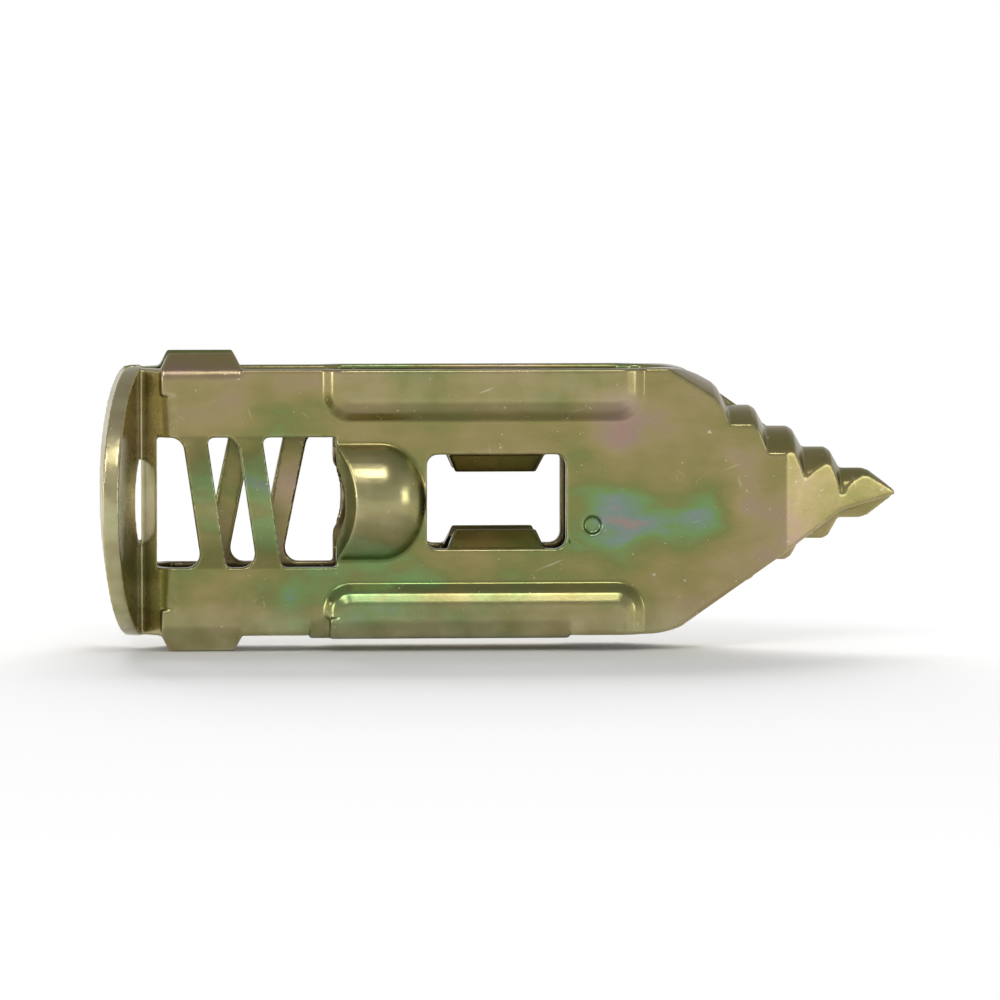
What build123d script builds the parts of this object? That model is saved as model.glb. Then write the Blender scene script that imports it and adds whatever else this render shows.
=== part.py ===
from build123d import *

import os
from functools import partial
from math import cos, radians, sin, sqrt, tan

# Hollow wall anchor folded from one steel sheet, in millimetres.
# +X runs from the head to the drilling tip along the screw axis, +Z is up
# across the width, and the front plate faces -Y. The origin is the centre of
# the screw hole, where the two head flanges fold off the neck.

# Sheet and body
sheet = 0.8
overall_length = 40.6
plate_half_width = 6.75
plate_face = 2.7
overrun = 5.0

# Head: two half-round flanges, and the collar that steps up to the plates
head_radius = 6.9
head_lean = 12.3
neck_depth = 0.55
neck_bend = 0.5
collar_angle = 46.0
collar_bend = 0.8
screw_hole_radius = 2.6
screw_hole_run = 0.8
notch_half_height = 2.3

# Lugs curled inward beside the head
lug_start = 1.25
lug_length = 4.1
lug_slope = 0.55
lug_reach = 7.6
lug_curl = 45.0
lug_bend = 0.5
lug_corner = 0.3

# Strut window, whose slanting bars take the screw thread
window_start = 1.05
window_end = 10.1
window_half_height = 3.3
window_corner = 0.3
window_round = 0.7
strut_count = 2
strut_first = 2.95
strut_pitch = 2.79
strut_width = 1.25
strut_lean = 0.97
rear_first = 5.45
rear_lean = 1.35
strut_bulge = 0.45

# Hood that the screw runs into, open towards the strut window
hood_radius = 4.0
hood_straight = 2.2
hood_end = 14.4
mouth_slant = 1.0

# Window with two inward lips
lipped_start_share = 0.026
lipped_end_share = 0.645
lipped_half_height = 2.4
lipped_corner = 0.55
lip_inset = 0.95
lip_reach = 1.0
lip_slope = 0.6
lip_angle = 45.0
lip_bend = 0.5

# Strips pressed outward along both edges of each plate
strip_start = 9.4
strip_clearance = 0.07
strip_foot = 4.1
strip_rise = 0.6
strip_draft = 50.0
strip_corner = 1.9
strip_chamfer = 0.3

# Locating dimple
dimple_share = 0.762
dimple_drop = 1.2
dimple_radius = 0.45
dimple_depth = 0.25

# Fold that joins the plates along the lower edge
fold_start = 8.75
fold_end_share = 0.66
fold_reach = 6.95
fold_bend = 0.6

# Drilling tip
tip_taper = 29.1
tip_rise = 0.25
tooth_count = 4
tooth_pitch = 1.93
tooth_riser = 0.6
tooth_chamfer = 0.2
follower_share = 0.65
shoulder_round = 4.5
point_length = 1.6
point_radius = 0.12
point_blunt = 0.74
flat_run = 5.9
tip_wall = 0.65
side_wall_ramp = 1.7
seam = 0.15

# Values that follow from the sizes above
plate_middle = plate_face - sheet / 2
plate_back = plate_face - sheet
half_extent = max(head_radius, plate_half_width)
collar_start = (plate_middle - neck_depth) / tan(radians(collar_angle))
rim_place = -(head_radius - neck_depth) * tan(radians(head_lean))
head_face = rim_place - sheet / 2 / cos(radians(head_lean))
tip_end = head_face + overall_length
tip_slope = tan(radians(tip_taper))
crest_zero = tip_end + point_blunt
last_crest_place = tip_end - point_length
first_crest_place = last_crest_place - tooth_pitch * tooth_count
shoulder_place = crest_zero - plate_half_width / tip_slope
tip_start = shoulder_place - tip_rise / tip_slope - shoulder_round * tan(radians(tip_taper / 2))
stretch = tip_start - hood_end
lipped_start = hood_end + lipped_start_share * stretch
lipped_end = hood_end + lipped_end_share * stretch
dimple_place = hood_end + dimple_share * stretch
fold_end = hood_end + fold_end_share * stretch
strip_end = tip_start - strip_clearance
strip_slope = tan(radians(strip_draft))
strip_inset = sheet * tan(radians(strip_draft / 2))


def strut_openings(top: float, lean: float) -> list:
    """Give the corners of the openings beside and between one plate's struts.

    top is the middle of the first strut at the window's upper edge, and lean
    is how far each strut moves along +X on its way down.
    """
    half = strut_width / 2
    middles = [top + strut_pitch * index for index in range(strut_count)]
    lefts = [(window_start, window_start)] + [(m + half, m + half + lean) for m in middles]
    rights = [(m - half, m - half + lean) for m in middles] + [(window_end, window_end)]
    return [
        [
            (left[0], window_half_height),
            (left[1], -window_half_height),
            (right[1], -window_half_height),
            (right[0], window_half_height),
        ]
        for left, right in zip(lefts, rights)
    ]


def place_across(lean: float, corner: Vertex) -> float:
    """Give a corner's place along +X with the struts' lean taken out."""
    return corner.X + corner.Y * lean / (2 * window_half_height)


# One lug: a curled strip with sloping ends
with BuildPart() as lug:
    curl = radians(lug_curl)
    lug_foot = plate_half_width - lug_bend
    lug_bend_top = lug_reach - sheet / 2 * sin(curl)
    lug_corner_height = lug_foot + lug_bend * tan(curl / 2)
    lug_run = (lug_bend_top - lug_corner_height) / cos(curl)
    with BuildSketch(Plane.YZ.offset(lug_start)):
        with BuildLine():
            FilletPolyline(
                (-plate_middle, lug_foot - sheet),
                (-plate_middle, lug_corner_height),
                (-plate_middle + lug_run * sin(curl), lug_bend_top),
                radius=lug_bend,
            )
        trace(line_width=sheet)
    extrude(amount=lug_length)
    with BuildSketch(Plane.XZ) as lug_outline:
        with BuildLine():
            Polyline(
                (lug_start, lug_foot - sheet),
                (lug_start + lug_length, lug_foot - sheet),
                (lug_start + lug_length, plate_half_width),
                (lug_start + lug_length - lug_slope, lug_reach + lug_slope / 2),
                (lug_start + lug_slope, lug_reach + lug_slope / 2),
                (lug_start, plate_half_width),
                close=True,
            )
        make_face()
        fillet(lug_outline.vertices().group_by(Axis.Y)[-2], radius=lug_corner)
    extrude(amount=plate_face + overrun, mode=Mode.INTERSECT)

# One inward lip of the lipped window
with BuildPart() as lip:
    bend_down = radians(lip_angle)
    lip_foot = lipped_half_height + lip_bend
    lip_corner_height = lip_foot - lip_bend * tan(bend_down / 2)
    lip_start = lipped_start + lip_inset
    lip_end = lipped_end - lip_inset
    lip_edge = lip_corner_height - lip_reach - sheet / 2
    with BuildSketch(Plane.YZ.offset(lip_start)):
        with BuildLine():
            FilletPolyline(
                (-plate_middle, lip_foot + sheet),
                (-plate_middle, lip_corner_height),
                (-plate_middle + lip_reach * tan(bend_down), lip_corner_height - lip_reach),
                radius=lip_bend,
            )
        trace(line_width=sheet)
    extrude(amount=lip_end - lip_start)
    with BuildSketch(Plane.XZ):
        with BuildLine():
            Polyline(
                (lip_start, lip_foot + sheet),
                (lip_end, lip_foot + sheet),
                (lip_end, lip_corner_height),
                (lip_end - lip_slope, lip_edge),
                (lip_start + lip_slope, lip_edge),
                (lip_start, lip_corner_height),
                close=True,
            )
        make_face()
    extrude(amount=plate_face + overrun, mode=Mode.INTERSECT)

# One raised strip as it stands out of the plate, and the hollow behind it
with BuildPart() as strip:
    strip_root = sheet / 2 * strip_slope
    with BuildSketch(Plane.XZ.offset(plate_middle)) as strip_outline:
        with Locations((strip_start - strip_root, strip_foot - strip_root)):
            Rectangle(
                strip_end - strip_start + 2 * strip_root,
                plate_half_width + overrun - strip_foot,
                align=(Align.MIN, Align.MIN),
            )
        fillet(strip_outline.vertices().group_by(Axis.Y)[0], radius=strip_corner)
    extrude(amount=sheet / 2 + strip_rise, taper=strip_draft)
    chamfer(strip.faces().sort_by(Axis.Y)[0].edges(), length=strip_chamfer)
with BuildPart() as strip_hollow:
    with BuildSketch(Plane.XZ.offset(plate_back)) as hollow_outline:
        with Locations((strip_start + strip_inset, strip_foot + strip_inset)):
            Rectangle(
                strip_end - strip_start - 2 * strip_inset,
                plate_half_width + overrun - strip_foot,
                align=(Align.MIN, Align.MIN),
            )
        fillet(hollow_outline.vertices().group_by(Axis.Y)[0], radius=strip_corner - strip_inset)
    extrude(amount=strip_rise, taper=strip_draft)

# Hood: a sheet turned round the screw axis that curves down to the plate
with BuildPart() as hood:
    hood_middle = hood_radius - sheet / 2
    hood_turn = (window_end + hood_straight, -hood_middle)
    hood_close = (hood_end, -plate_middle)
    with BuildSketch(Plane.XY):
        with BuildLine():
            Line((window_end, -hood_middle), hood_turn)
            TangentArc(hood_turn, hood_close, tangent=(1, 0))
        trace(line_width=sheet)
    revolve(axis=Axis.X)
    with BuildSketch(Plane.XZ.offset(plate_back)):
        with Locations((window_end, 0)):
            Rectangle(overall_length, 2 * hood_radius, align=(Align.MIN, Align.CENTER))
    extrude(amount=hood_radius, mode=Mode.INTERSECT)
    with BuildSketch(Plane.XY):
        with BuildLine():
            Polyline(
                (window_end - overrun, -plate_face),
                (window_end, -plate_face),
                (window_end + mouth_slant, -hood_radius),
                (window_end - overrun, -hood_radius),
                close=True,
            )
        make_face()
    extrude(amount=hood_radius, both=True, mode=Mode.SUBTRACT)

# Way of the screw: a round hole in flange and neck, and a notch square to the collar
with BuildPart() as screw_way:
    collar = radians(collar_angle)
    way_middle = (screw_hole_run * cos(collar), -neck_depth - screw_hole_run * sin(collar))
    way_inner = way_middle[0] - way_middle[1] * tan(collar)
    way_outer = (way_middle[0] - sheet / 2 * sin(collar), way_middle[1] - sheet / 2 * cos(collar))
    with BuildSketch(Plane.YZ.offset(head_face - overrun)):
        Circle(screw_hole_radius)
    extrude(amount=overrun - head_face + way_outer[0])
    with BuildSketch(Plane.XY):
        with BuildLine():
            Polyline((way_outer[0], 0), (way_inner, 0), way_outer, close=True)
        make_face()
    extrude(amount=notch_half_height, both=True)

# Front plate: flange, collar, raised strips, lugs, hood and windows in one sheet
with BuildPart() as plate:
    with BuildSketch(Plane.XY.offset(-half_extent)):
        with BuildLine():
            FilletPolyline(
                (tip_start, -plate_middle),
                (collar_start, -plate_middle),
                (0, -neck_depth),
                (rim_place, -head_radius),
                radius=[collar_bend, neck_bend],
            )
        trace(line_width=sheet)
    extrude(amount=2 * half_extent)

    # The flange is half round, and the screw hole runs through it and the neck
    with BuildSketch(Plane.YZ.offset(head_face - overrun)):
        Rectangle(4 * half_extent, 4 * half_extent)
        Circle(head_radius, mode=Mode.SUBTRACT)
    extrude(amount=overrun - head_face + way_outer[0], mode=Mode.SUBTRACT)
    add(screw_way.part, mode=Mode.SUBTRACT)

    # Strips pressed outward, hollow behind
    add(strip.part)
    mirror(strip.part, about=Plane.XY)
    add(strip_hollow.part, mode=Mode.SUBTRACT)
    mirror(strip_hollow.part, about=Plane.XY, mode=Mode.SUBTRACT)

    # Plate edges, cut back where the lugs bend off
    with BuildSketch(Plane.XZ):
        with Locations((way_outer[0], plate_half_width)):
            Rectangle(overall_length, overrun, align=(Align.MIN, Align.MIN))
        with Locations((way_outer[0], -plate_half_width)):
            Rectangle(overall_length, overrun, align=(Align.MIN, Align.MAX))
        with Locations((lug_start, lug_foot)):
            Rectangle(lug_length, overrun, align=(Align.MIN, Align.MIN))
        with Locations((lug_start, -lug_foot)):
            Rectangle(lug_length, overrun, align=(Align.MIN, Align.MAX))
    extrude(amount=plate_face + overrun, mode=Mode.SUBTRACT)

    # Lugs on both edges
    add(lug.part)
    mirror(lug.part, about=Plane.XY)

    # Arched sheet that the struts are cut from
    with BuildSketch(Plane.XZ):
        with Locations((window_start, 0)):
            Rectangle(
                window_end - window_start,
                2 * window_half_height,
                align=(Align.MIN, Align.CENTER),
            )
    extrude(amount=plate_face + overrun, mode=Mode.SUBTRACT)
    arch_start = strut_first - strut_pitch / 2
    arch_end = rear_first + strut_pitch * (strut_count - 1) + strut_width
    with BuildSketch(Plane.YZ.offset(arch_start)):
        with BuildLine():
            ThreePointArc(
                (-plate_face, -window_half_height),
                (-plate_face - strut_bulge, 0),
                (-plate_face, window_half_height),
            )
            Line((-plate_face, window_half_height), (-plate_back, window_half_height))
            ThreePointArc(
                (-plate_back, window_half_height),
                (-plate_back - strut_bulge, 0),
                (-plate_back, -window_half_height),
            )
            Line((-plate_back, -window_half_height), (-plate_face, -window_half_height))
        make_face()
    extrude(amount=arch_end - arch_start)

    # Hood over the screw's way, in place of the flat sheet below it
    with BuildSketch(Plane.XY):
        with BuildLine():
            Line((window_end, -hood_middle), hood_turn)
            TangentArc(hood_turn, hood_close, tangent=(1, 0))
            Polyline(hood_close, (hood_end, 0), (window_end, 0), (window_end, -hood_middle))
        make_face()
    revolve(axis=Axis.X, mode=Mode.SUBTRACT)
    add(hood.part)

    # Window with rounded corners, and its lips
    with BuildSketch(Plane.XZ):
        with Locations(((lipped_start + lipped_end) / 2, 0)):
            RectangleRounded(lipped_end - lipped_start, 2 * lipped_half_height, lipped_corner)
    extrude(amount=plate_face + overrun, mode=Mode.SUBTRACT)
    add(lip.part)
    mirror(lip.part, about=Plane.XY)

    # Dimple
    with BuildSketch(Plane.XZ.offset(plate_face - dimple_depth)):
        with Locations((dimple_place, -dimple_drop)):
            Circle(dimple_radius)
    extrude(amount=overrun, mode=Mode.SUBTRACT)

# Space inside the tip, a cone with flats that leaves the tip wall all round
with BuildPart() as tip_hollow:
    inner_zero = crest_zero - (tooth_pitch - tooth_riser) - tip_wall / sin(radians(tip_taper))
    with BuildSketch(Plane.XY):
        with BuildLine():
            Polyline(
                (tip_start, 0),
                (tip_start, (inner_zero - tip_start) * tip_slope),
                (inner_zero, 0),
                close=True,
            )
        make_face()
    revolve(axis=Axis.X)
    with BuildSketch(Plane.YZ.offset(tip_start)):
        Rectangle(2 * plate_back, 2 * (plate_half_width - sheet))
    extrude(amount=overall_length, mode=Mode.INTERSECT)

# Cutting quarters of the tip: stepped cones, above in front and below behind
with BuildPart() as teeth:
    tooth_drop = tooth_pitch * tip_slope
    blank_radius = sqrt((plate_half_width + tip_rise) ** 2 + plate_face**2)
    blank_place = crest_zero - blank_radius / tip_slope
    last_radius = (crest_zero - last_crest_place) * tip_slope
    steps = []
    for index in range(tooth_count):
        place = first_crest_place + tooth_pitch * index
        radius = (crest_zero - place) * tip_slope
        steps.append((place, radius))
        steps.append((place + tooth_riser, radius - tooth_drop))
    with BuildSketch(Plane.XY) as tooth_profile:
        with BuildLine():
            Polyline(
                (tip_start, 0),
                (tip_start, blank_radius),
                (blank_place, blank_radius),
                *steps,
                (last_crest_place, last_radius),
                (tip_end, point_radius),
                (tip_end, 0),
                close=True,
            )
        make_face()
        corners = tooth_profile.vertices().filter_by_position(
            Axis.X, first_crest_place - tooth_chamfer, last_crest_place + tooth_chamfer
        )
        crests = corners.sort_by(Axis.X)[::2]
        chamfer(crests, length=tooth_chamfer)
    revolve(axis=Axis.X)
    quarter = blank_radius / 2
    with BuildSketch(Plane.YZ.offset(tip_start)):
        with Locations((-quarter, quarter), (quarter, -quarter)):
            Rectangle(blank_radius, blank_radius)
    extrude(amount=overall_length, mode=Mode.INTERSECT)

# Following quarter of the tip: the plate cut along a line that stays behind the crests
with BuildPart() as follower:
    with BuildSketch(Plane.XZ):
        with BuildLine():
            Polyline(
                (tip_start, 0),
                (tip_start, blank_radius),
                (blank_place, blank_radius),
                (shoulder_place, plate_half_width),
                (last_crest_place - tooth_pitch + tooth_riser, follower_share * last_radius),
                (tip_end, point_radius),
                (tip_end, 0),
                close=True,
            )
        make_face()
    extrude(amount=-plate_face)

# Drilling tip, built about its own axis: four quarters, hollow, parted along the middle
with BuildPart() as tip:
    add(teeth.part)
    add(follower.part)
    add(follower.part.rotate(Axis.X, 180))

    # Flats in line with the plates, and rounded shoulders
    with BuildSketch(Plane.XZ) as tip_outline:
        with BuildLine():
            Polyline(
                (tip_start - overrun, plate_half_width - tip_rise),
                (shoulder_place + tip_rise / tip_slope, plate_half_width - tip_rise),
                (crest_zero, 0),
                (shoulder_place - tip_rise / tip_slope, -plate_half_width - tip_rise),
                (tip_start - overrun, -plate_half_width - tip_rise),
                close=True,
            )
        make_face()
        shoulders = tip_outline.vertices().sort_by(Axis.X)[2:4]
        fillet(shoulders, radius=shoulder_round)
    extrude(amount=plate_face, both=True, mode=Mode.INTERSECT)
    with BuildSketch(Plane.XY):
        with BuildLine():
            Polyline(
                (tip_start - overrun, plate_face),
                (tip_end - flat_run, plate_face),
                (tip_end, point_radius),
                (tip_end, -point_radius),
                (tip_end - flat_run, -plate_face),
                (tip_start - overrun, -plate_face),
                close=True,
            )
        make_face()
    extrude(amount=blank_radius, both=True, mode=Mode.INTERSECT)

    # Hollow between the plates
    add(tip_hollow.part, mode=Mode.SUBTRACT)

    # The side walls grow out of the plate edges, and meet at the seam
    with BuildSketch(Plane.XY):
        with BuildLine():
            Polyline(
                (tip_start, plate_back),
                (tip_start + side_wall_ramp, 0),
                (tip_start, -plate_back),
                close=True,
            )
        make_face()
        with Locations((tip_start, 0)):
            Rectangle(overall_length, seam, align=(Align.MIN, Align.CENTER))
    extrude(amount=blank_radius, both=True, mode=Mode.SUBTRACT)

# The whole anchor: two plates turned about the screw axis, tip and fold
with BuildPart() as anchor_body:
    add(plate.part)
    add(plate.part.rotate(Axis.X, 180))
    add(tip.part.moved(Location((0, 0, tip_rise))))

    # Openings that leave the struts: front ones lean one way, rear the other
    for top, lean, depth, left_round, right_round in (
        (strut_first, strut_lean, plate_face + overrun, window_corner, window_round),
        (rear_first, -rear_lean, -plate_face - overrun, window_round, window_corner),
    ):
        across = partial(place_across, lean)
        for corners in strut_openings(top, lean):
            with BuildSketch(Plane.XZ) as opening:
                Polygon(*corners, align=None)
                fillet(sorted(opening.vertices(), key=across)[:2], radius=left_round)
                fillet(sorted(opening.vertices(), key=across)[-2:], radius=right_round)
            extrude(amount=depth, mode=Mode.SUBTRACT)

    # Room for the fold, then the fold: flush with the plates, then with the strips
    fold_middle = fold_reach - sheet / 2
    fold_top = fold_middle - fold_bend - sheet / 8
    fold_step = strip_start + strip_inset
    with BuildSketch(Plane.XZ):
        with Locations((fold_start, -fold_top)):
            Rectangle(fold_end - fold_start, overrun, align=(Align.MIN, Align.MAX))
    extrude(amount=plate_face + overrun, both=True, mode=Mode.SUBTRACT)
    for begin, finish, reach in (
        (fold_start, fold_step, plate_middle),
        (fold_step, fold_end, plate_middle + strip_rise),
    ):
        with BuildSketch(Plane.YZ.offset(begin)):
            with BuildLine():
                FilletPolyline(
                    (-reach, -fold_top),
                    (-reach, -fold_middle),
                    (reach, -fold_middle),
                    (reach, -fold_top),
                    radius=fold_bend,
                )
            trace(line_width=sheet)
        extrude(amount=finish - begin)

anchor_body.part.label = "anchor_body"
os.makedirs("parts", exist_ok=True)
export_step(anchor_body.part, "parts/anchor_body.step")
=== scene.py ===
"""Dress a folded sheet-steel wall anchor for a studio view.

The anchor is one blank of steel, stamped, folded and passivated yellow. Its
skin is a copy of the solid's mesh with the tumbled edges of the real sheet, and
its finish is an uneven film that turns from rose over olive to green and cream.
"""

import logging
import math
from dataclasses import dataclass
from enum import Enum
from typing import ClassVar

import bmesh
import bpy
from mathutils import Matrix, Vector
from mathutils.bvhtree import BVHTree
from mathutils.kdtree import KDTree


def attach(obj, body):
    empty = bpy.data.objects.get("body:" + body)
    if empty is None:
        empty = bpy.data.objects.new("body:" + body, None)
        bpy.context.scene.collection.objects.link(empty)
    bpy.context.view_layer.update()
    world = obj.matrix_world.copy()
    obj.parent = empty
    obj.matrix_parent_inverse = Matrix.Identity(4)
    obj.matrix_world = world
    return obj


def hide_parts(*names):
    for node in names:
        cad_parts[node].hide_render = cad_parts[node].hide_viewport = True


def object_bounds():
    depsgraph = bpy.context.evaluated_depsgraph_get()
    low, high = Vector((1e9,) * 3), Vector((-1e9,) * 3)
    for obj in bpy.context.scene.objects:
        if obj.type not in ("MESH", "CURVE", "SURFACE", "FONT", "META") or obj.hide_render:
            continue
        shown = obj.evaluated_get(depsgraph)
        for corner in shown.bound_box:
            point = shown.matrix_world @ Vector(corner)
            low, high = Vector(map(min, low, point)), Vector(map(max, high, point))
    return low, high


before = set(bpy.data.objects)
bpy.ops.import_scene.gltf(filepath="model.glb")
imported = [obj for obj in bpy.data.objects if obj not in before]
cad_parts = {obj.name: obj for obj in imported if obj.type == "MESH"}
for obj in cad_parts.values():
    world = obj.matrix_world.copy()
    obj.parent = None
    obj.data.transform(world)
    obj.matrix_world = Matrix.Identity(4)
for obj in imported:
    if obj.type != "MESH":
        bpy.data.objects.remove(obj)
CAD_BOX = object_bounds()

MM = 0.001
BODY = "root"
NODE = "anchor_body"
Color = tuple[float, float, float, float]

log = logging.getLogger("wall_anchor")


def linear(red: float, green: float, blue: float) -> Color:
    """Turn a display colour into the linear one that a shader takes.

    Args:
        red: Red from 0 to 255.
        green: Green from 0 to 255.
        blue: Blue from 0 to 255.

    Returns:
        The colour as linear red, green, blue and an alpha of one.
    """
    channels = [((value / 255 + 0.055) / 1.055) ** 2.4 for value in (red, green, blue)]
    return (*channels, 1.0)


class FilmTone(Enum):
    """Tones that the passivation film goes through as it gets thicker."""

    ROSE = linear(170, 130, 119)
    MAUVE = linear(160, 137, 119)
    TAN = linear(157, 142, 98)
    OLIVE = linear(143, 134, 81)
    MOSS = linear(124, 128, 73)
    GREEN = linear(116, 146, 88)
    TEAL = linear(124, 142, 133)
    GOLD = linear(184, 172, 104)
    CREAM = linear(232, 220, 172)


class Mark(Enum):
    """Values that the skin holds at each vertex."""

    WEAR = "wear"
    RECESS = "recess"


class NodeWriter:
    """Adds nodes to one shader tree and links them.

    Args:
        tree: The tree of a material, a world or a node group.
    """

    def __init__(self, tree: bpy.types.NodeTree) -> None:
        self.tree = tree

    def add(self, kind: str, **settings: object) -> bpy.types.Node:
        """Add a node.

        Args:
            kind: The node's type, without its ShaderNode prefix.
            **settings: Properties to set on the node.

        Returns:
            The new node.
        """
        node = self.tree.nodes.new("ShaderNode" + kind)
        for name, value in settings.items():
            setattr(node, name, value)
        return node

    def link(self, source: bpy.types.NodeSocket, target: bpy.types.NodeSocket) -> None:
        """Link an output to an input."""
        self.tree.links.new(source, target)

    def math(self, operation: str, first: object, second: object = 0.0) -> object:
        """Add a math node.

        Args:
            operation: The node's operation.
            first: A socket or a number.
            second: A socket or a number.

        Returns:
            The node's output socket.
        """
        node = self.add("Math", operation=operation)
        for socket, value in zip(node.inputs, (first, second)):
            if isinstance(value, bpy.types.NodeSocket):
                self.link(value, socket)
            else:
                socket.default_value = value
        return node.outputs[0]

    def noise(self, place: object, scale: float, detail: float, rough: float, seed: float) -> object:
        """Add a noise texture with a seed of its own.

        Args:
            place: The socket that gives the place.
            scale: Patches for each metre.
            detail: Octaves of finer noise.
            rough: Strength of the finer noise.
            seed: The fourth coordinate, which picks the pattern.

        Returns:
            The noise value's socket.
        """
        node = self.add("TexNoise", noise_dimensions="4D")
        self.link(place, node.inputs["Vector"])
        node.inputs["W"].default_value = seed
        node.inputs["Scale"].default_value = scale
        node.inputs["Detail"].default_value = detail
        node.inputs["Roughness"].default_value = rough
        return node.outputs["Fac"]

    def stretch(
        self, value: object, low: float, high: float, to_low: float = 0.0, to_high: float = 1.0
    ) -> object:
        """Map a range of values to another one.

        Args:
            value: The socket to map.
            low: Value that becomes to_low.
            high: Value that becomes to_high.
            to_low: Lowest result.
            to_high: Highest result.

        Returns:
            The mapped value's socket.
        """
        node = self.add("MapRange", clamp=True)
        self.link(value, node.inputs["Value"])
        node.inputs["From Min"].default_value = low
        node.inputs["From Max"].default_value = high
        node.inputs["To Min"].default_value = to_low
        node.inputs["To Max"].default_value = to_high
        return node.outputs["Result"]

    def blend(self, factor: object, first: object, second: object) -> object:
        """Add a colour mix.

        Args:
            factor: A socket or a number, the share of the second colour.
            first: A socket or a colour.
            second: A socket or a colour.

        Returns:
            The mixed colour's socket.
        """
        node = self.add("Mix", data_type="RGBA")
        for name, value in (("Factor_Float", factor), ("A_Color", first), ("B_Color", second)):
            socket = next(item for item in node.inputs if item.identifier == name)
            if isinstance(value, bpy.types.NodeSocket):
                self.link(value, socket)
            else:
                socket.default_value = value
        return next(item for item in node.outputs if item.identifier == "Result_Color")


class SurfaceGroup:
    """A shader node group with named sockets.

    Args:
        name: The group's name.
        inputs: Input names with their socket types.
        outputs: Output names with their socket types.
    """

    def __init__(self, name: str, inputs: dict[str, str], outputs: dict[str, str]) -> None:
        self.tree = bpy.data.node_groups.new(name, "ShaderNodeTree")
        for label, kind in inputs.items():
            self.tree.interface.new_socket(label, in_out="INPUT", socket_type="NodeSocket" + kind)
        for label, kind in outputs.items():
            self.tree.interface.new_socket(label, in_out="OUTPUT", socket_type="NodeSocket" + kind)
        self.writer = NodeWriter(self.tree)
        self.source = self.tree.nodes.new("NodeGroupInput").outputs
        self.target = self.tree.nodes.new("NodeGroupOutput").inputs

    def place(self, writer: NodeWriter, **values: float) -> bpy.types.Node:
        """Place the group in a material.

        Args:
            writer: Writer of the material's tree.
            **values: Numbers for the group's inputs.

        Returns:
            The group node.
        """
        node = writer.add("Group", node_tree=self.tree)
        for label, value in values.items():
            node.inputs[label].default_value = value
        return node


@dataclass(frozen=True)
class FilmPatch:
    """A spot where the film is thicker or thinner.

    Attributes:
        place: The spot's middle, in millimetres.
        reach: How far the spot spreads, in millimetres.
        change: How much thicker the film is in its middle.
    """

    place: tuple[float, float, float]
    reach: float
    change: float

    def add_to(self, writer: NodeWriter, place: object, thickness: object) -> object:
        """Add the spot to a film.

        Args:
            writer: Writer of the film's tree.
            place: The socket that gives the place.
            thickness: The socket of the film's thickness.

        Returns:
            The new thickness's socket.
        """
        gap = writer.add("VectorMath", operation="DISTANCE")
        writer.link(place, gap.inputs[0])
        gap.inputs[1].default_value = Vector(self.place) * MM
        spot = writer.add("MapRange", clamp=True, interpolation_type="SMOOTHSTEP")
        writer.link(gap.outputs["Value"], spot.inputs["Value"])
        spot.inputs["From Max"].default_value = self.reach * MM
        spot.inputs["To Min"].default_value = self.change
        spot.inputs["To Max"].default_value = 0.0
        return writer.math("ADD", thickness, spot.outputs["Result"])


FILM_DRIFT = 3.6 * MM
FILM_STOPS = (
    (0.0, FilmTone.ROSE),
    (0.12, FilmTone.MAUVE),
    (0.26, FilmTone.TAN),
    (0.4, FilmTone.OLIVE),
    (0.51, FilmTone.MOSS),
    (0.61, FilmTone.GREEN),
    (0.71, FilmTone.TEAL),
    (0.8, FilmTone.ROSE),
    (0.88, FilmTone.GOLD),
    (1.0, FilmTone.CREAM),
)
FILM_PATCHES = (
    FilmPatch((2.6, -2.7, 5.4), 5.5, -0.16),
    FilmPatch((4.8, -2.7, -4.6), 3.6, -0.18),
    FilmPatch((6.9, -2.7, -5.4), 2.4, 0.18),
    FilmPatch((6.6, -2.7, 4.6), 2.6, 0.12),
    FilmPatch((15.0, -2.7, 3.6), 4.5, 0.1),
    FilmPatch((20.5, -2.7, 3.8), 4.0, 0.12),
    FilmPatch((13.0, -2.7, -3.6), 4.5, 0.1),
    FilmPatch((17.5, -3.3, -6.0), 3.2, 0.16),
    FilmPatch((24.6, -2.7, 3.4), 3.0, -0.22),
    FilmPatch((25.2, -2.7, -1.6), 2.8, 0.12),
    FilmPatch((26.8, -2.7, 0.2), 4.5, 0.12),
    FilmPatch((30.6, -2.7, 1.4), 2.8, -0.18),
    FilmPatch((29.0, -2.7, 0.2), 2.2, 0.12),
    FilmPatch((28.6, -2.7, -2.6), 3.4, 0.12),
    FilmPatch((32.5, -2.2, 2.5), 6.0, 0.16),
    FilmPatch((-1.2, 0.0, 3.0), 5.0, -0.2),
    FilmPatch((-1.2, 0.0, -3.5), 4.0, 0.22),
)


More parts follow.
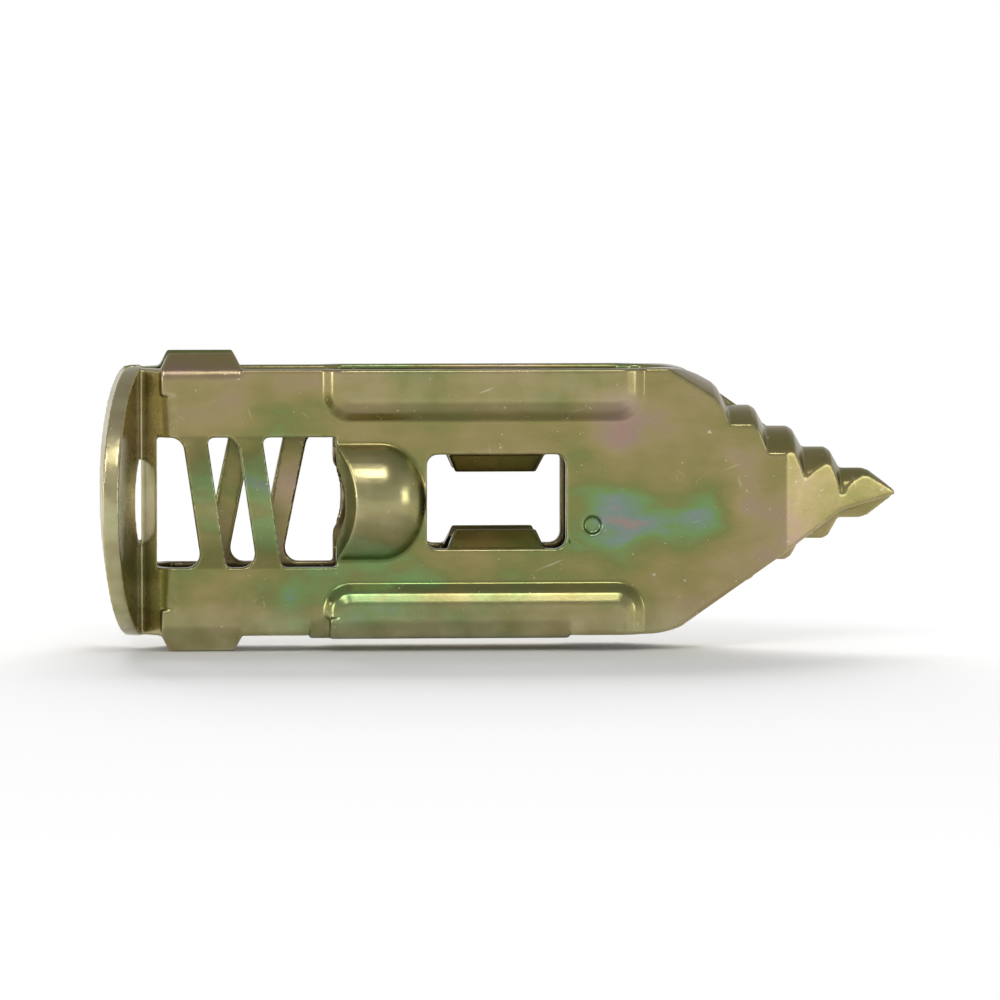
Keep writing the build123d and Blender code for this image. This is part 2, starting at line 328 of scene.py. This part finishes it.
def film_group() -> SurfaceGroup:
    """Make the group for the uneven passivation film.

    Returns:
        A group that turns a place into the film's colour.
    """
    group = SurfaceGroup("Passivation Film", {"Place": "Vector", "Shift": "Float"}, {"Color": "Color"})
    writer, place = group.writer, group.source["Place"]
    swirl = writer.add("TexNoise")
    writer.link(place, swirl.inputs["Vector"])
    swirl.inputs["Scale"].default_value = 260.0
    swirl.inputs["Detail"].default_value = 2.0
    drift = writer.add("VectorMath", operation="MULTIPLY_ADD")
    writer.link(swirl.outputs["Color"], drift.inputs[0])
    drift.inputs[1].default_value = (FILM_DRIFT, FILM_DRIFT, FILM_DRIFT)
    drift.inputs[2].default_value = (-FILM_DRIFT / 2, -FILM_DRIFT / 2, -FILM_DRIFT / 2)
    warped = writer.add("VectorMath", operation="ADD")
    writer.link(place, warped.inputs[0])
    writer.link(drift.outputs[0], warped.inputs[1])
    rolled = writer.add("Mapping", vector_type="TEXTURE")
    writer.link(place, rolled.inputs["Vector"])
    rolled.inputs["Scale"].default_value = (2.2, 1.0, 1.0)
    broad = writer.noise(place, 110.0, 1.5, 0.45, 3.1)
    patchy = writer.noise(rolled.outputs[0], 560.0, 3.0, 0.55, 7.4)
    thickness = writer.math("ADD", writer.stretch(broad, 0.3, 0.7, 0.16, 0.58), group.source["Shift"])
    thickness = writer.math("ADD", thickness, writer.stretch(patchy, 0.3, 0.7, -0.13, 0.13))
    for patch in FILM_PATCHES:
        thickness = patch.add_to(writer, warped.outputs[0], thickness)
    node = writer.add("ValToRGB")
    while len(node.color_ramp.elements) < len(FILM_STOPS):
        node.color_ramp.elements.new(1.0)
    for element, (position, tone) in zip(node.color_ramp.elements, FILM_STOPS):
        element.position = position
        element.color = tone.value
    writer.link(thickness, node.inputs["Fac"])
    writer.link(node.outputs["Color"], group.target["Color"])
    return group


def grain_group() -> SurfaceGroup:
    """Make the group for the sheet's fine grain, specks and scuffs.

    Returns:
        A group that gives the grain's height, and masks of specks and scuffs.
    """
    group = SurfaceGroup(
        "Sheet Grain",
        {"Place": "Vector"},
        {"Height": "Float", "Specks": "Float", "Scuffs": "Float"},
    )
    writer, place = group.writer, group.source["Place"]
    fine = writer.noise(place, 5200.0, 3.0, 0.6, 1.7)
    coarse = writer.noise(place, 900.0, 2.0, 0.5, 5.2)
    height = writer.math("ADD", writer.math("MULTIPLY", fine, 0.5), writer.math("MULTIPLY", coarse, 0.5))
    writer.link(height, group.target["Height"])
    speck = writer.noise(place, 3600.0, 1.0, 0.5, 9.3)
    writer.link(writer.stretch(speck, 0.72, 0.78), group.target["Specks"])
    scuffs = []
    for turn, seed in ((34.0, 2.2), (-21.0, 6.6), (78.0, 8.1)):
        mapping = writer.add("Mapping", vector_type="TEXTURE")
        writer.link(place, mapping.inputs["Vector"])
        mapping.inputs["Rotation"].default_value = (0.0, math.radians(turn), 0.0)
        mapping.inputs["Scale"].default_value = (9.0, 1.0, 1.0)
        streak = writer.noise(mapping.outputs["Vector"], 4600.0, 1.0, 0.5, seed)
        patch = writer.stretch(writer.noise(place, 300.0, 1.0, 0.5, seed), 0.55, 0.68)
        scuffs.append(writer.math("MULTIPLY", writer.stretch(streak, 0.72, 0.8), patch))
    total = writer.math("MAXIMUM", writer.math("MAXIMUM", scuffs[0], scuffs[1]), scuffs[2])
    writer.link(total, group.target["Scuffs"])
    return group


@dataclass(frozen=True)
class ReliefBand:
    """A stretch over which a form of the anchor begins or ends.

    Attributes:
        start: Where the share is none, in metres.
        end: Where the share is full, in metres.
    """

    start: float
    end: float

    def share(self, writer: NodeWriter, value: object) -> object:
        """Turn a place along one axis into the share of the form."""
        return writer.stretch(value, self.start, self.end)


# Painted light: these three bands mark the proud forms, the low edge and the collar, whose colour turns
# paler as a painted highlight.
PROUD_BAND = ReliefBand(2.9 * MM, 4.2 * MM)
LOW_BAND = ReliefBand(-5.0 * MM, -7.0 * MM)
COLLAR_BAND = ReliefBand(1.5 * MM, 0.6 * MM)
# Painted shade: these bands mark the inner faces between the collar and the tip, which turn dark where they
# are hidden.
INNER_BAND = ReliefBand(2.25 * MM, 1.95 * MM)
PAST_COLLAR_BAND = ReliefBand(1.0 * MM, 1.8 * MM)
BEFORE_TIP_BAND = ReliefBand(25.5 * MM, 24.5 * MM)


def relief_group() -> SurfaceGroup:
    """Make the group for painted light on the proud forms, the low edge and the collar, and for painted
    shade inside.

    Returns:
        A group that turns a place into the share of painted light and the share of painted shade.
    """
    group = SurfaceGroup("Relief", {"Place": "Vector"}, {"Painted Light": "Float", "Painted Shade": "Float"})
    writer, place = group.writer, group.source["Place"]
    split = writer.add("SeparateXYZ")
    writer.link(place, split.inputs[0])
    along, side, height = split.outputs
    side = writer.math("ABSOLUTE", side)
    uneven = writer.stretch(writer.noise(place, 620.0, 2.0, 0.5, 8.8), 0.35, 0.65, 0.35, 1.0)
    # Painted highlight: paler colour on the proud forms, the bottom and the collar stands in for light.
    painted_light = writer.math("MAXIMUM", PROUD_BAND.share(writer, side), LOW_BAND.share(writer, height))
    painted_light = writer.math("MAXIMUM", painted_light, COLLAR_BAND.share(writer, along))
    writer.link(writer.math("MULTIPLY", painted_light, uneven), group.target["Painted Light"])
    # Painted shade on the inner faces between the collar and the tip.
    middle = writer.math(
        "MULTIPLY", PAST_COLLAR_BAND.share(writer, along), BEFORE_TIP_BAND.share(writer, along)
    )
    painted_shade_area = writer.math("MULTIPLY", INNER_BAND.share(writer, side), middle)
    writer.link(painted_shade_area, group.target["Painted Shade"])
    return group


@dataclass(frozen=True)
class ZincFinish:
    """A passivated zinc surface.

    Attributes:
        name: The material's name.
        shift: How much thicker the film is than on the flat sheet.
        wear: Share of bare zinc that shows on the sharpest edges.
        roughness_low: Roughness of the smoothest spots.
        roughness_high: Roughness of the dullest spots.
        bump_height: Height of the grain, in metres.
    """

    name: str
    shift: float
    wear: float
    roughness_low: float
    roughness_high: float
    bump_height: float

    # Bare zinc colour, used for the worn edges and for the painted highlight.
    zinc: ClassVar[Color] = linear(206, 198, 158)
    speck: ClassVar[Color] = linear(222, 216, 190)
    # Dark brown for the painted shade inside and in deep recesses.
    painted_shade_color: ClassVar[Color] = linear(74, 60, 34)
    # Share of the painted highlight on the proud forms, the low edge and the collar.
    painted_light_share: ClassVar[float] = 0.7
    speck_share: ClassVar[float] = 0.55
    scuff_share: ClassVar[float] = 0.6
    speck_roughness: ClassVar[float] = 0.15
    recess_roughness: ClassVar[float] = 0.12

    def make(self, film: SurfaceGroup, grain: SurfaceGroup, relief: SurfaceGroup) -> bpy.types.Material:
        """Make the material.

        Args:
            film: The passivation film group.
            grain: The sheet grain group.
            relief: The relief group.

        Returns:
            The material.
        """
        material = bpy.data.materials.new(self.name)
        material.use_nodes = True
        writer = NodeWriter(material.node_tree)
        shader = material.node_tree.nodes["Principled BSDF"]
        place = writer.add("TexCoord").outputs["Object"]
        tint = film.place(writer, Shift=self.shift)
        marks = grain.place(writer)
        forms = relief.place(writer)
        for node in (tint, marks, forms):
            writer.link(place, node.inputs["Place"])
        # The recess mark drives the painted shade and a rougher finish.
        recess = writer.add("Attribute", attribute_name=Mark.RECESS.value).outputs["Fac"]
        color = self.paint(writer, place, tint.outputs["Color"], forms.outputs, recess)
        for mark, share in (("Specks", self.speck_share), ("Scuffs", self.scuff_share)):
            color = writer.blend(writer.math("MULTIPLY", marks.outputs[mark], share), color, self.speck)
        writer.link(color, shader.inputs["Base Color"])
        uneven = writer.noise(place, 700.0, 3.0, 0.55, 4.4)
        dull = writer.stretch(uneven, 0.3, 0.7, self.roughness_low, self.roughness_high)
        rough_specks = writer.math("MULTIPLY", marks.outputs["Specks"], self.speck_roughness)
        dull = writer.math("ADD", dull, rough_specks)
        dull = writer.math("ADD", dull, writer.stretch(recess, 0.3, 0.9, 0.0, self.recess_roughness))
        writer.link(dull, shader.inputs["Roughness"])
        bump = writer.add("Bump")
        bump.inputs["Distance"].default_value = self.bump_height
        bump.inputs["Strength"].default_value = 1.0
        writer.link(marks.outputs["Height"], bump.inputs["Height"])
        writer.link(bump.outputs["Normal"], shader.inputs["Normal"])
        shader.inputs["Metallic"].default_value = 1.0
        shader.inputs["Coat Weight"].default_value = 0.3
        shader.inputs["Coat Roughness"].default_value = 0.22
        return material

    def paint(
        self, writer: NodeWriter, place: object, film: object, forms: object, recess: object
    ) -> object:
        """Wear the film off the edges, paint light as paler zinc on the proud forms, the low edge and the
        collar, and paint shade into the inside.

        Args:
            writer: Writer of the material's tree.
            place: The socket that gives the place.
            film: The film colour's socket.
            forms: The relief group's outputs.
            recess: The recess mark's socket.

        Returns:
            The colour's socket.
        """
        wear = writer.add("Attribute", attribute_name=Mark.WEAR.value).outputs["Fac"]
        patchy = writer.stretch(writer.noise(place, 1500.0, 2.0, 0.6, 6.1), 0.35, 0.65, 0.0, self.wear)
        color = writer.blend(writer.math("MULTIPLY", wear, patchy), film, self.zinc)
        # Painted highlight: the proud forms, the low edge and the collar turn toward pale zinc.
        color = writer.blend(writer.math("MULTIPLY", forms["Painted Light"], self.painted_light_share), color, self.zinc)
        # Painted shade: hidden inner faces and deep recesses darken toward dark brown.
        inside = writer.stretch(recess, 0.1, 0.5, 0.0, 0.75)
        painted_shade = writer.math("MULTIPLY", forms["Painted Shade"], inside)
        painted_shade = writer.math("MAXIMUM", painted_shade, writer.stretch(recess, 0.5, 0.95, 0.0, 0.85))
        return writer.blend(painted_shade, color, self.painted_shade_color)


@dataclass
class FoldedAnchor:
    """The anchor's skin.

    Attributes:
        weld: Distance within which vertices are one, in metres.
        voxel: Step of the grid that the skin is drawn on, in metres.
        smooth_rounds: How often the skin is evened out, which rounds its edges.
        face_target: About how many triangles the skin keeps.
        edge_angle: Edges of the solid that turn more than this are sharp, in degrees.
        edge_step: Distance between marks along a sharp edge, in metres.
        wear_reach: How far wear goes from a sharp edge, in metres.
        recess_reach: How near a neighbour has to be to hide the room, in metres.
        recess_rays: How many ways each vertex looks for a neighbour.
        sheet: Thickness of the sheet, in metres.
        plate_face: Distance of a plate's outer face from the middle, in metres.
        strip_rise: How far the edge strips stand out of the plates, in metres.
        tip_place: Where the drilling tip starts, in metres.
        fold_place: Where the fold starts and ends, in metres.
        fold_height: Height below which the sheet is part of the fold, in metres.
    """

    weld: float = 0.002 * MM
    voxel: float = 0.065 * MM
    smooth_rounds: int = 10
    face_target: int = 185000
    edge_angle: float = 40.0
    edge_step: float = 0.06 * MM
    wear_reach: float = 0.2 * MM
    recess_reach: float = 6.0 * MM
    recess_rays: int = 20
    sheet: float = 0.8 * MM
    plate_face: float = 2.7 * MM
    strip_rise: float = 0.6 * MM
    tip_place: float = 25.7 * MM
    fold_place: tuple[float, float] = (8.75 * MM, 21.9 * MM)
    fold_height: float = -5.8 * MM

    def build(self) -> bpy.types.Object:
        """Copy the solid's mesh, round its edges and mark where it wears.

        Returns:
            The skin, which stands for the solid.
        """
        solid = bmesh.new()
        solid.from_mesh(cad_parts[NODE].data)
        bmesh.ops.remove_doubles(solid, verts=solid.verts, dist=self.weld)
        mesh = self.rounded(solid)
        tree = BVHTree.FromBMesh(solid)
        self.mark_wear(mesh, solid)
        self.mark_recess(mesh, tree)
        self.mark_shear(mesh, solid, tree)
        solid.free()
        mesh.shade_smooth()
        skin = bpy.data.objects.new("anchor_skin", mesh)
        bpy.context.scene.collection.objects.link(skin)
        skin.modifiers.new("flat faces stay flat", "WEIGHTED_NORMAL").keep_sharp = True
        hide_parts(NODE)
        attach(skin, BODY)
        return skin

    def rounded(self, solid: bmesh.types.BMesh) -> bpy.types.Mesh:
        """Draw the solid on a fine grid and even it out.

        Args:
            solid: The solid's mesh.

        Returns:
            A mesh with tumbled edges.
        """
        mesh = bpy.data.meshes.new("anchor_solid")
        solid.to_mesh(mesh)
        grid = self.with_modifier(mesh, "REMESH", mode="VOXEL", voxel_size=self.voxel)
        even = self.with_modifier(grid, "SMOOTH", factor=0.5, iterations=self.smooth_rounds)
        triangles = 2 * len(even.polygons)
        skin = self.with_modifier(even, "DECIMATE", ratio=min(1.0, self.face_target / triangles))
        skin.name = "anchor_skin"
        return skin

    @staticmethod
    def with_modifier(mesh: bpy.types.Mesh, kind: str, **settings: object) -> bpy.types.Mesh:
        """Apply one modifier to a mesh.

        Args:
            mesh: The mesh to change, which is removed.
            kind: The modifier's type.
            **settings: The modifier's properties.

        Returns:
            The changed mesh.
        """
        carrier = bpy.data.objects.new("carrier", mesh)
        bpy.context.scene.collection.objects.link(carrier)
        modifier = carrier.modifiers.new("change", kind)
        for name, value in settings.items():
            setattr(modifier, name, value)
        carrier = carrier.evaluated_get(bpy.context.evaluated_depsgraph_get())
        changed = bpy.data.meshes.new_from_object(carrier)
        bpy.data.objects.remove(carrier.original)
        bpy.data.meshes.remove(mesh)
        return changed

    def mark_wear(self, mesh: bpy.types.Mesh, solid: bmesh.types.BMesh) -> None:
        """Store on each vertex how near it is to a sharp outer edge.

        Args:
            mesh: The skin's mesh.
            solid: The solid's mesh, which has the sharp edges.
        """
        limit = math.radians(self.edge_angle)
        sharp = [edge for edge in solid.edges if edge.is_convex and edge.calc_face_angle() > limit]
        marks = []
        for edge in sharp:
            start, end = (vertex.co for vertex in edge.verts)
            count = max(1, round(edge.calc_length() / self.edge_step))
            marks += [start.lerp(end, index / count) for index in range(count)]
        tree = KDTree(len(marks))
        for index, mark in enumerate(marks):
            tree.insert(mark, index)
        tree.balance()
        wear = mesh.attributes.new(Mark.WEAR.value, "FLOAT", "POINT")
        for vertex, value in zip(mesh.vertices, wear.data):
            distance = tree.find(vertex.co)[2]
            value.value = max(0.0, 1.0 - distance / self.wear_reach)

    def mark_recess(self, mesh: bpy.types.Mesh, tree: BVHTree) -> None:
        """Store on each vertex how much of the room its neighbours hide; the finish darkens with it as
        painted shade.

        Args:
            mesh: The skin's mesh.
            tree: The solid's faces.
        """
        golden = math.pi * (3 - math.sqrt(5))
        fan = []
        for index in range(self.recess_rays):
            share = (index + 0.5) / self.recess_rays
            side, turn = math.sqrt(share), golden * index
            fan.append(Vector((side * math.cos(turn), side * math.sin(turn), math.sqrt(1 - share))))
        recess = mesh.attributes.new(Mark.RECESS.value, "FLOAT", "POINT")
        for vertex, value in zip(mesh.vertices, recess.data):
            start = vertex.co + vertex.normal * self.voxel
            facing = vertex.normal.to_track_quat("Z", "Y")
            hits = sum(tree.ray_cast(start, facing @ ray, self.recess_reach)[0] is not None for ray in fan)
            value.value = hits / self.recess_rays

    def mark_shear(self, mesh: bpy.types.Mesh, solid: bmesh.types.BMesh, tree: BVHTree) -> None:
        """Give the sheared edges of the flat plates the second finish.

        Args:
            mesh: The skin's mesh.
            solid: The solid's mesh.
            tree: The solid's faces.
        """
        sheared = [self.is_sheared(face) for face in solid.faces]
        for polygon in mesh.polygons:
            polygon.material_index = int(sheared[tree.find_nearest(polygon.center)[2]])

    def is_sheared(self, face: bmesh.types.BMFace) -> bool:
        """Tell whether a face is a sheared edge of one of the flat plates.

        Args:
            face: A face of the solid.

        Returns:
            True for a face across the sheet that is no part of the fold or the tip.
        """
        middle = face.calc_center_median()
        within = self.plate_face - self.sheet < abs(middle.y) < self.plate_face + self.strip_rise
        start, end = self.fold_place
        folded = start < middle.x < end and middle.z < self.fold_height
        return within and not folded and 0.0 < middle.x < self.tip_place and abs(face.normal.y) < 0.2

    def dress(self, skin: bpy.types.Object) -> None:
        """Give the skin its finishes.

        Args:
            skin: The skin from build.
        """
        film, grain, relief = film_group(), grain_group(), relief_group()
        finishes = (
            ZincFinish("yellow_zinc_face", 0.0, 0.34, 0.17, 0.29, 0.004 * MM),
            ZincFinish("yellow_zinc_shear", 0.0, 0.3, 0.28, 0.42, 0.01 * MM),
        )
        for finish in finishes:
            skin.data.materials.append(finish.make(film, grain, relief))


@dataclass(frozen=True)
class Lamp:
    """A square lamp that points at the anchor.

    Attributes:
        name: The lamp's name.
        place: Its place from the camera's target, in metres.
        size: Its width, in metres.
        power: Its power, in watts.
        reflects: Whether the metal shows it.
    """

    name: str
    place: tuple[float, float, float]
    size: float
    power: float
    reflects: bool = True

    def hang(self, target: Vector) -> None:
        """Hang the lamp.

        Args:
            target: The point that the lamp faces, in metres.
        """
        data = bpy.data.lights.new(self.name, "AREA")
        data.size = self.size
        data.energy = self.power
        lamp = bpy.data.objects.new(self.name, data)
        lamp.visible_camera = False
        lamp.visible_glossy = self.reflects
        bpy.context.scene.collection.objects.link(lamp)
        lamp.location = target + Vector(self.place)
        lamp.rotation_euler = (-Vector(self.place)).to_track_quat("-Z", "Y").to_euler()


LAMPS = (
    Lamp("back_softbox", (0.0, 0.26, 0.16), 0.2, 0.95, reflects=False),
    Lamp("front_softbox", (-0.1, -0.24, 0.2), 0.1, 0.14),
    Lamp("hood_softbox", (0.03, -0.22, 0.2), 0.07, 0.1),
    Lamp("left_strip", (-0.25, -0.14, 0.04), 0.1, 0.12),
    Lamp("right_strip", (0.24, -0.16, 0.03), 0.08, 0.06),
)


@dataclass
class Studio:
    """The table, the light and the camera.

    Attributes:
        azimuth: Camera's turn about the vertical, in degrees.
        elevation: Camera's height above the horizon, in degrees.
        distance: Camera's distance from its target, in metres.
        span: Width that the picture takes in at the target, in metres.
        target: Point on the front plate that the camera looks at, in metres.
        table_half: Half the table's width, in metres.
        shade_radius: Distance up to which the table is matt, in metres.
        clear_radius: Distance at which the table is plain white, in metres.
        ring_weight: Weight of lengths along the anchor in the white ring; under one, it is longer that way.
        room_level: Brightness of the room at eye level.
        room_top: Brightness of the room overhead.
    """

    azimuth: float = -3.5
    elevation: float = 3.8
    distance: float = 0.4
    span: float = 50.63 * MM
    target: tuple[float, float, float] = (18.39 * MM, -2.7 * MM, 0.1 * MM)
    table_half: float = 15.0
    shade_radius: float = 0.035
    clear_radius: float = 0.095
    ring_weight: float = 0.6
    room_level: float = 0.74
    room_top: float = 0.4

    def build_table(self) -> bpy.types.Object:
        """Lay the white table under the anchor.

        Returns:
            The table.
        """
        half, height = self.table_half, CAD_BOX[0].z
        corners = [(-half, -half), (half, -half), (half, half), (-half, half)]
        mesh = bpy.data.meshes.new("table")
        mesh.from_pydata([(x, y, height) for x, y in corners], [], [(0, 1, 2, 3)])
        table = bpy.data.objects.new("table", mesh)
        bpy.context.scene.collection.objects.link(table)
        mesh.materials.append(self.table_material())
        return table

    def table_material(self) -> bpy.types.Material:
        """Make the table's matt white, which turns plain white far from the anchor.

        Returns:
            The material.
        """
        material = bpy.data.materials.new("white_table")
        material.use_nodes = True
        nodes = material.node_tree.nodes
        writer = NodeWriter(material.node_tree)
        shader = nodes["Principled BSDF"]
        shader.inputs["Base Color"].default_value = (0.93, 0.93, 0.93, 1.0)
        shader.inputs["Roughness"].default_value = 0.9
        shader.inputs["Specular IOR Level"].default_value = 0.0
        plain = writer.add("Emission")
        place = writer.add("TexCoord").outputs["Object"]
        oval = writer.add("VectorMath", operation="MULTIPLY_ADD")
        writer.link(place, oval.inputs[0])
        oval.inputs[1].default_value = (self.ring_weight, 1.0, 0.0)
        oval.inputs[2].default_value = (-self.ring_weight * self.target[0], 0.0, 0.0)
        length = writer.add("VectorMath", operation="LENGTH")
        writer.link(oval.outputs[0], length.inputs[0])
        far = writer.stretch(length.outputs["Value"], self.shade_radius, self.clear_radius)
        mix = writer.add("MixShader")
        writer.link(far, mix.inputs[0])
        writer.link(shader.outputs[0], mix.inputs[1])
        writer.link(plain.outputs[0], mix.inputs[2])
        writer.link(mix.outputs[0], nodes["Material Output"].inputs["Surface"])
        return material

    def build_world(self) -> None:
        """Surround the anchor with a room that is pale at eye level and dim above."""
        world = bpy.data.worlds.new("studio")
        bpy.context.scene.world = world
        world.use_nodes = True
        writer = NodeWriter(world.node_tree)
        background = world.node_tree.nodes["Background"]
        direction = writer.add("TexCoord").outputs["Generated"]
        split = writer.add("SeparateXYZ")
        writer.link(direction, split.inputs[0])
        upward = writer.stretch(split.outputs["Z"], 0.0, 0.7, self.room_level, self.room_top)
        background.inputs["Color"].default_value = (1.0, 1.0, 1.0, 1.0)
        writer.link(upward, background.inputs["Strength"])

    def build_lamps(self) -> None:
        """Hang a low softbox behind for the shadow, two in front, and a strip on either side."""
        for lamp in LAMPS:
            lamp.hang(Vector(self.target))

    def build_camera(self) -> None:
        """Set the camera at the photograph's angle."""
        data = bpy.data.cameras.new("camera")
        turn, rise = math.radians(self.azimuth), math.radians(self.elevation)
        back = Vector((math.sin(turn) * math.cos(rise), -math.cos(turn) * math.cos(rise), math.sin(rise)))
        data.lens = data.sensor_width * self.distance / self.span
        data.clip_start = self.distance / 100
        data.clip_end = self.table_half * 4
        camera = bpy.data.objects.new("camera", data)
        bpy.context.scene.collection.objects.link(camera)
        camera.location = Vector(self.target) + back * self.distance
        camera.rotation_euler = (-back).to_track_quat("-Z", "Y").to_euler()
        bpy.context.scene.camera = camera


def main() -> None:
    """Build and dress the anchor, then set up the studio."""
    logging.basicConfig(level=logging.INFO, format="%(name)s: %(message)s")
    bpy.context.scene.view_settings.view_transform = "Standard"
    anchor = FoldedAnchor()
    skin = anchor.build()
    anchor.dress(skin)
    log.info("%s: %d triangles", skin.name, len(skin.data.polygons))
    studio = Studio()
    table = studio.build_table()
    log.info("%s laid at %.1f mm", table.name, CAD_BOX[0].z / MM)
    studio.build_world()
    studio.build_lamps()
    studio.build_camera()


if __name__ == "__main__":
    main()
